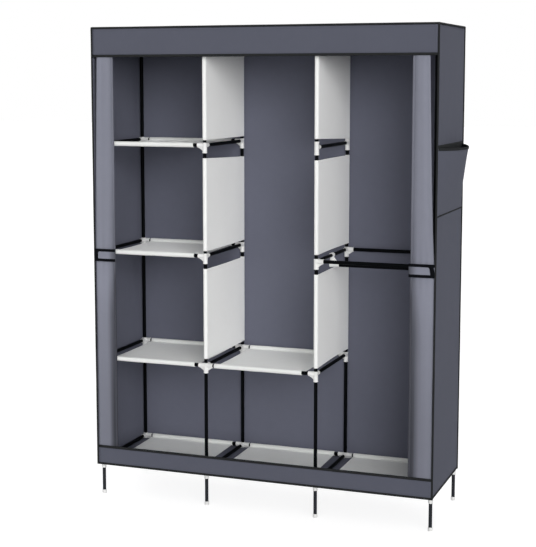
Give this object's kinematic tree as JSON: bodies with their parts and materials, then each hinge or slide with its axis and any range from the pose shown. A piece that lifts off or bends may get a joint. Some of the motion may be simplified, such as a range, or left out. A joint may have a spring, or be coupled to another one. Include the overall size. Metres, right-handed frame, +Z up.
{
  "type": "portable fabric wardrobe",
  "caption": "Freestanding portable wardrobe with a push-together tube frame, cloth shelves and dividers, a fabric cover with side pockets, a hanging rod and sliding curtains tied open",
  "frame": {"origin": "On the floor, below the middle of the wardrobe's width and depth", "axes": "+Z up, +X to the viewer's right, -Y is the open front"},
  "size_m": [1.3944, 0.4136, 1.765],
  "materials": {
    "tube": "black painted thin steel tube, satin, with white moulded plastic connectors and foot caps",
    "shelf": "pale grey non-woven cloth, matt",
    "divider": "near-white non-woven cloth, matt",
    "cover": "slate grey non-woven cloth with black edge binding, matt",
    "curtain": "lighter slate grey non-woven cloth, matt"
  },
  "bodies": {
    "frame": {"post_front_1": "tube", "post_back_1": "tube", "post_front_2": "tube", "post_back_2": "tube", "post_front_3": "tube", "post_back_3": "tube", "post_front_4": "tube", "post_back_4": "tube", "rung_a1": "tube", "rung_a2": "tube", "rung_a3": "tube", "rung_b1": "tube", "rung_b2": "tube", "rung_b3": "tube", "rung_b4": "tube", "rung_c1": "tube", "rung_c2": "tube", "rung_c3": "tube", "rung_d1": "tube", "rung_d2": "tube", "rung_d3": "tube", "rung_d4": "tube", "top_rail_front": "tube", "top_rail_back": "tube", "top_tube_1": "tube", "top_tube_2": "tube", "top_tube_3": "tube", "top_tube_4": "tube", "hanger_tube_front": "tube", "hanger_tube_back": "tube", "hanging_rod": "tube", "shelf_a1": "shelf", "shelf_b1": "shelf", "shelf_c1": "shelf", "shelf_c2": "shelf", "shelf_d1": "shelf", "shelf_d2": "shelf", "shelf_d3": "shelf", "divider_2_upper": "divider", "divider_2_middle": "divider", "divider_2_lower": "divider", "divider_3_upper": "divider", "divider_3_middle": "divider", "divider_3_lower": "divider", "cover_left": "cover", "cover_right": "cover", "cover_back": "cover", "cover_top": "cover", "cover_floor": "cover", "cover_header": "cover", "cover_base_band": "cover", "pocket_left": "cover", "pocket_right": "cover", "curtain_rod": "tube"},
    "curtain_left": {"curtain_left_hem": "curtain", "curtain_left_cloth": "curtain"},
    "curtain_right": {"curtain_right_hem": "curtain", "curtain_right_cloth": "curtain"},
    "strap_left": {"tie_strap_left": "curtain"},
    "strap_right": {"tie_strap_right": "curtain"}
  },
  "joints": [
    {"name": "curtain_left_slide", "type": "slide", "parent": "frame", "child": "curtain_left", "axis": [1, 0, 0], "range_m": [0, 0.566], "deforming": ["curtain_left_cloth"]},
    {"name": "curtain_right_slide", "type": "slide", "parent": "frame", "child": "curtain_right", "axis": [-1, 0, 0], "range_m": [0, 0.556], "deforming": ["curtain_right_cloth"]},
    {"name": "strap_left_hinge", "type": "hinge", "parent": "frame", "child": "strap_left", "pos_m": [-0.649, -0.2063, 0.927], "axis": [0, 0, -1], "range_deg": [0, 110]},
    {"name": "strap_right_hinge", "type": "hinge", "parent": "frame", "child": "strap_right", "pos_m": [0.649, -0.2063, 0.927], "axis": [0, 0, 1], "range_deg": [0, 110]}
  ],
  "couplings": [
    {"joint": "strap_left_hinge", "follows": "curtain_left_slide", "rad_per_m": 3.39},
    {"joint": "strap_right_hinge", "follows": "curtain_right_slide", "rad_per_m": 3.45}
  ]
}
